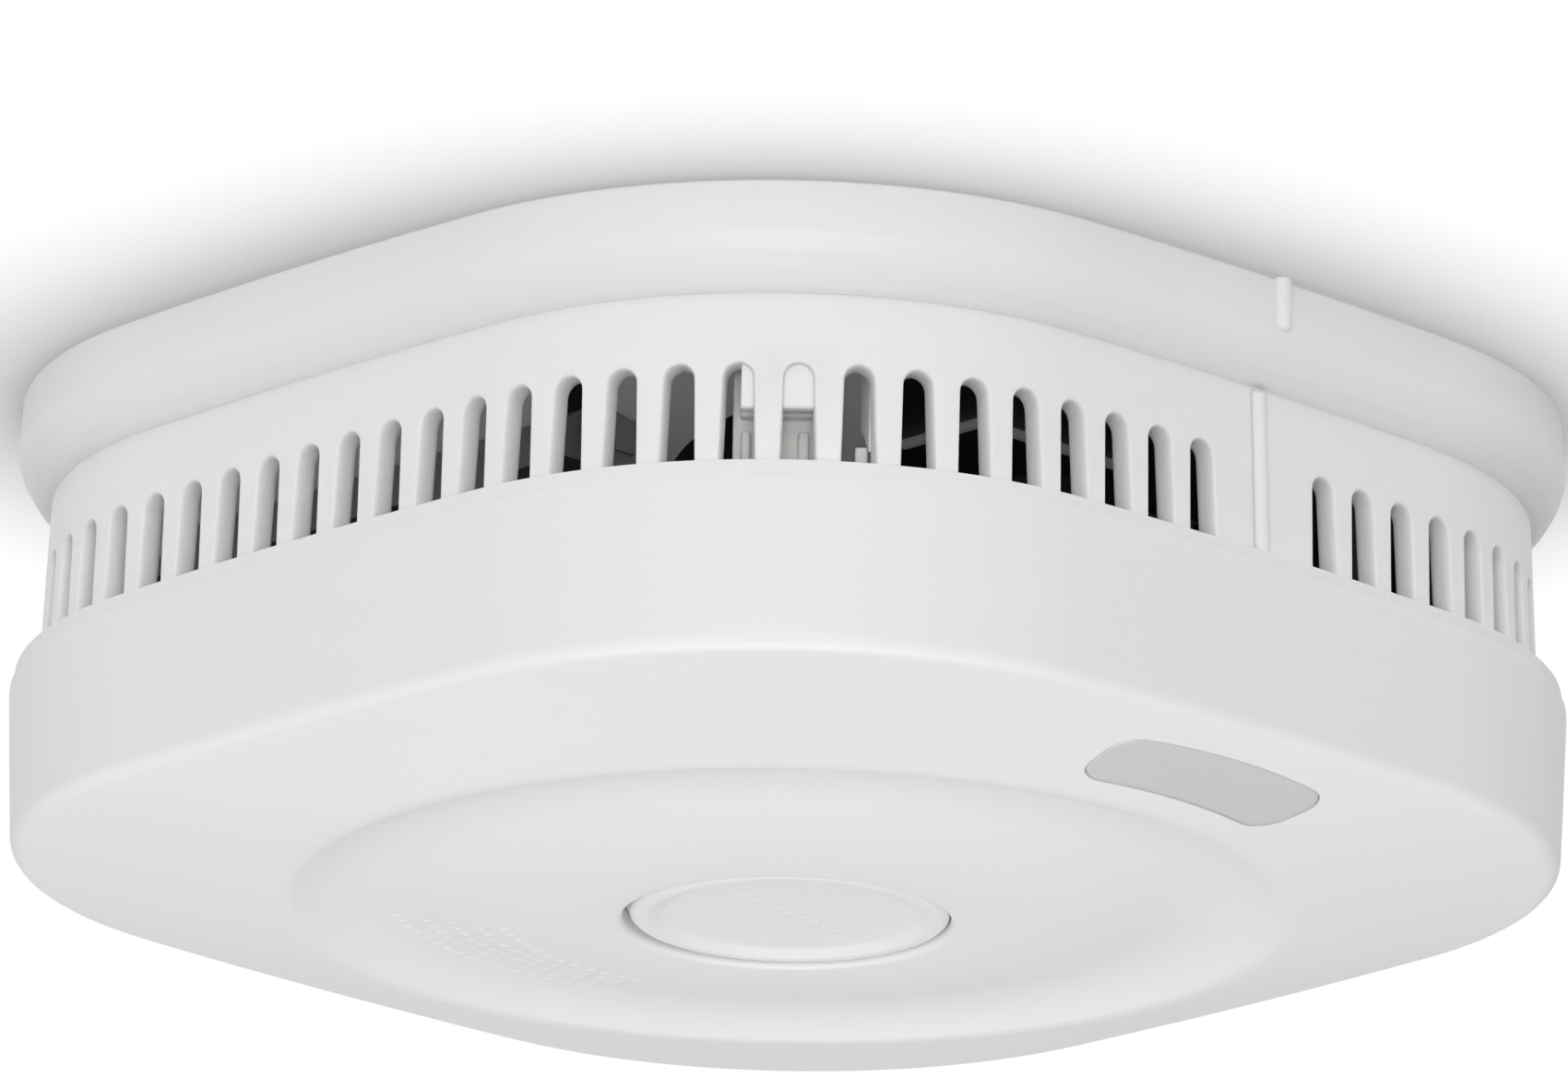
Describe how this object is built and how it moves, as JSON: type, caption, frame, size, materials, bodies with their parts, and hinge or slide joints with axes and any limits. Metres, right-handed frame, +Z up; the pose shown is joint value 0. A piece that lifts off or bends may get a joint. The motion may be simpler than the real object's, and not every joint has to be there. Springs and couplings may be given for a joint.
{
  "type": "smoke detector",
  "caption": "Rounded-square ceiling smoke alarm: bayonet mounting base, turning head with a louvred grille ring, domed front cover and a central test button.",
  "frame": {"origin": "centre of the screw pattern on the base's ceiling face", "axes": "+Z up into the ceiling, +X towards the side that carries the alignment ribs and the light window, +Y across; the body hangs towards -Z"},
  "size_m": [0.1164, 0.116, 0.0441],
  "materials": {
    "white_housing": "fine satin moulding, softly rounded edges",
    "frosted_window": "frosted translucent moulding",
    "clear_plastic": "clear light pipe",
    "ivory_plastic": "natural translucent white moulding",
    "black_plastic": "matt black, light absorbing",
    "dark_resin": "dark infrared-filtering resin",
    "led_resin": "tinted clear resin",
    "board_laminate": "green solder mask over glass laminate",
    "spring_steel": "bright drawn wire and plated strip",
    "screen_steel": "fine woven steel gauze",
    "screw_steel": "zinc plated",
    "brass_disc": "thin rolled disc",
    "cell_sleeve": "plain grey shrink sleeve",
    "capacitor_can": "dark shrink sleeve over an aluminium can"
  },
  "bodies": {
    "base": {"mounting_base": "white_housing"},
    "head": {"back_plate": "white_housing", "grille_ring": "white_housing", "front_cover": "white_housing", "light_window": "frosted_window", "light_guide": "clear_plastic", "button_spring": "spring_steel", "tact_switch": "black_plastic", "circuit_board": "board_laminate", "indicator_led": "led_resin", "chamber_base": "black_plastic", "labyrinth": "black_plastic", "chamber_cap": "black_plastic", "insect_screen": "screen_steel", "ir_emitter": "dark_resin", "photodiode": "dark_resin", "piezo_horn": "ivory_plastic", "piezo_disc": "brass_disc", "battery_cell": "cell_sleeve", "battery_holder": "black_plastic", "battery_terminals": "spring_steel", "housing_screws": "screw_steel", "controller_chip": "dark_resin", "capacitors": "capacitor_can", "corner_bracket": "ivory_plastic"},
    "button": {"test_button": "white_housing"},
    "plunger": {"switch_plunger": "ivory_plastic"}
  },
  "joints": [
    {"name": "head_twist", "type": "hinge", "parent": "base", "child": "head", "pos_m": [0, 0, 0], "axis": [0, 0, -1], "range_deg": [0, 15]},
    {"name": "button_press", "type": "slide", "parent": "head", "child": "button", "axis": [0, 0, 1], "range_m": [0, 0.001], "stiffness_N_per_m": 900, "springref_m": -0.001, "deforming": ["button_spring"]},
    {"name": "plunger_press", "type": "slide", "parent": "head", "child": "plunger", "axis": [0, 0, 1], "range_m": [0, 0.001]}
  ],
  "couplings": [
    {"joint": "plunger_press", "follows": "button_press", "ratio": 1}
  ]
}
